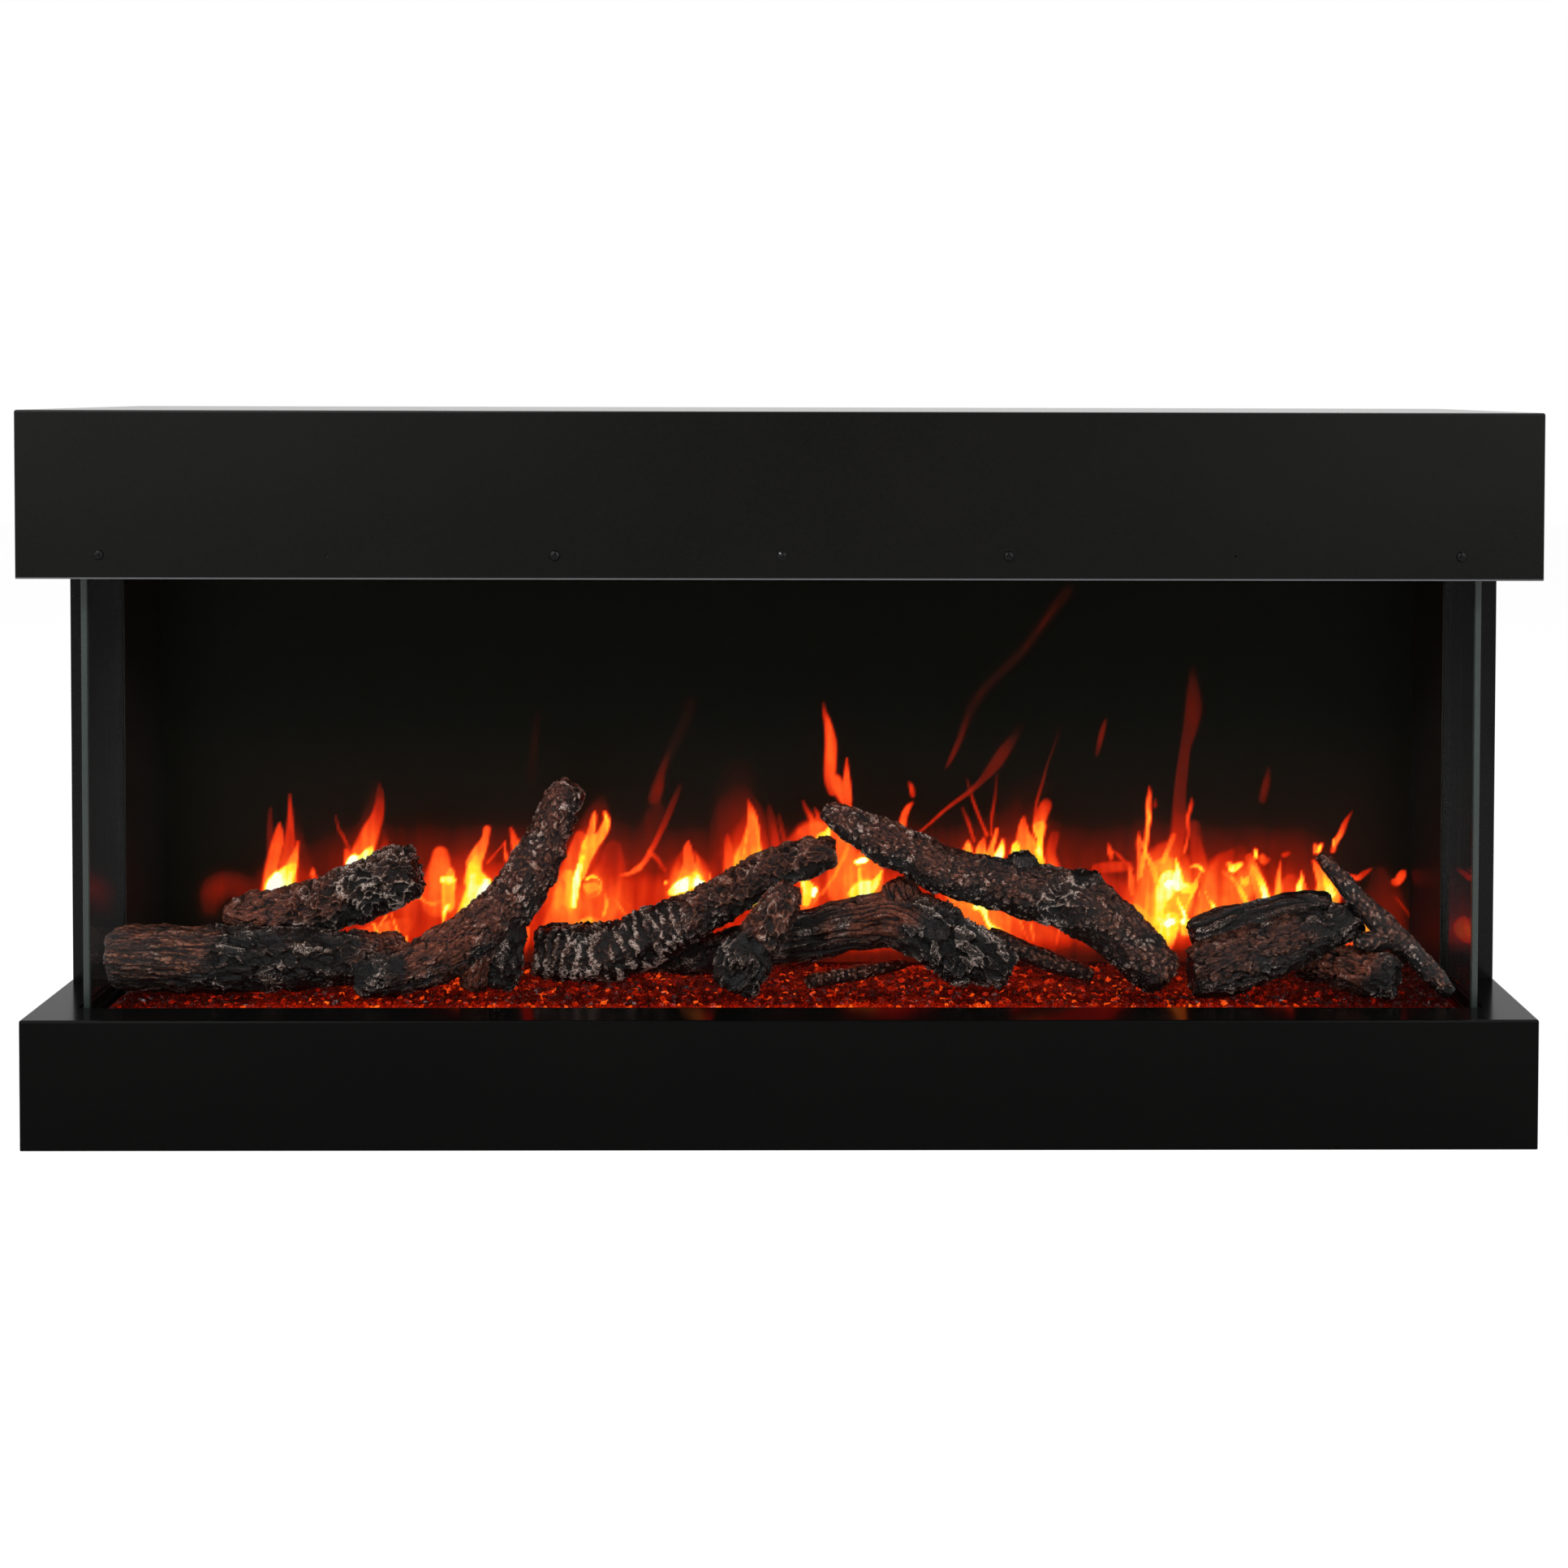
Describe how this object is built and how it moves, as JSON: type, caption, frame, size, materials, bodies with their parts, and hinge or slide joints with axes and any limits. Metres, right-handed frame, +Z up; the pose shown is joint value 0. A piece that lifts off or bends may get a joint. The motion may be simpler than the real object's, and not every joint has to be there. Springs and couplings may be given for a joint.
{
  "type": "three-sided fireplace",
  "caption": "Wide black built-in electric fireplace glazed at the front and both sides, with a log set on a glowing ember bed, a flame screen and a fan heater in the hood.",
  "frame": {"origin": "under the middle of the cabinet, on the surface that it stands on", "axes": "+X to the right seen from the front, +Y from the front to the back, +Z up"},
  "size_m": [1.27, 0.367, 0.618],
  "materials": {
    "black_powder_coat": "satin black powder coat on folded sheet steel",
    "zinc_plated_steel": "bright zinc plated sheet steel",
    "black_oxide_steel": "black oxide, lightly oiled",
    "clear_glass": "clear float glass with ground edges",
    "smoked_acrylic": "smoked screen with a satin face",
    "ember_glass": "crushed glass lit from below in orange and red",
    "red_acrylic": "clear red tray",
    "painted_bark_resin": "moulded bark with painted char and silver ash",
    "board_laminate": "green lacquered laminate",
    "white_lamp_board": "white lacquered laminate",
    "black_nylon": "moulded, fine texture",
    "bearing_rubber": "soft, dull",
    "aluminium_sheet": "mill finish",
    "resistance_alloy": "oxidised ribbon",
    "motor_steel": "plain laminations and can"
  },
  "bodies": {
    "cabinet": {"base_shell": "black_powder_coat", "hood_shell": "black_powder_coat", "soffit_plate": "black_powder_coat", "left_column": "black_powder_coat", "right_column": "black_powder_coat", "left_recess_panel": "black_powder_coat", "right_recess_panel": "black_powder_coat", "lower_glass_channel": "black_powder_coat", "upper_glass_channel": "black_powder_coat", "chamber_floor": "black_powder_coat", "outlet_grille": "black_powder_coat", "back_cover": "zinc_plated_steel", "base_pan": "zinc_plated_steel", "flame_lamp_bracket": "zinc_plated_steel", "rod_bush_hanger": "zinc_plated_steel", "flicker_motor_hanger": "zinc_plated_steel", "blower_housing": "zinc_plated_steel", "blower_motor_plate": "zinc_plated_steel", "fascia_screw_1": "black_oxide_steel", "fascia_screw_2": "black_oxide_steel", "fascia_screw_3": "black_oxide_steel", "fascia_screw_4": "black_oxide_steel", "fascia_rivet": "black_oxide_steel", "flame_stencil": "black_oxide_steel", "front_glass": "clear_glass", "left_glass": "clear_glass", "right_glass": "clear_glass", "flame_screen": "smoked_acrylic", "ember_media": "ember_glass", "ember_tray": "red_acrylic", "front_left_log": "painted_bark_resin", "raised_left_log": "painted_bark_resin", "forked_trunk_log": "painted_bark_resin", "leaning_stick": "painted_bark_resin", "broken_fork_log": "painted_bark_resin", "long_curved_log": "painted_bark_resin", "front_stub_log": "painted_bark_resin", "leaning_branch_log": "painted_bark_resin", "thin_front_stick": "painted_bark_resin", "right_small_log": "painted_bark_resin", "right_chunk_log": "painted_bark_resin", "right_twig": "painted_bark_resin", "control_board": "board_laminate", "ember_lamp_board": "white_lamp_board", "flame_lamp_board": "white_lamp_board", "rod_bush": "black_nylon", "thermal_cutout": "black_nylon", "terminal_box": "black_nylon", "supply_gland": "black_nylon", "switch_body": "black_nylon", "blower_bearing": "bearing_rubber", "ember_reflector": "aluminium_sheet", "power_supply": "aluminium_sheet", "heating_element": "resistance_alloy", "flicker_motor": "motor_steel", "blower_motor": "motor_steel"},
    "flicker_rod": {"flicker_rod": "aluminium_sheet"},
    "blower_impeller": {"blower_impeller": "aluminium_sheet"},
    "power_rocker": {"power_rocker": "black_nylon"}
  },
  "joints": [
    {"name": "flicker_rod_spin", "type": "hinge", "parent": "cabinet", "child": "flicker_rod", "pos_m": [0, 0.119, 0.1295], "axis": [1, 0, 0], "continuous": true},
    {"name": "blower_impeller_spin", "type": "hinge", "parent": "cabinet", "child": "blower_impeller", "pos_m": [0, -0.111, 0.5512], "axis": [1, 0, 0], "continuous": true},
    {"name": "power_rocker_tip", "type": "hinge", "parent": "cabinet", "child": "power_rocker", "pos_m": [0.52, -0.159, 0.4891], "axis": [0, 1, 0], "range_deg": [-16, 0]}
  ]
}
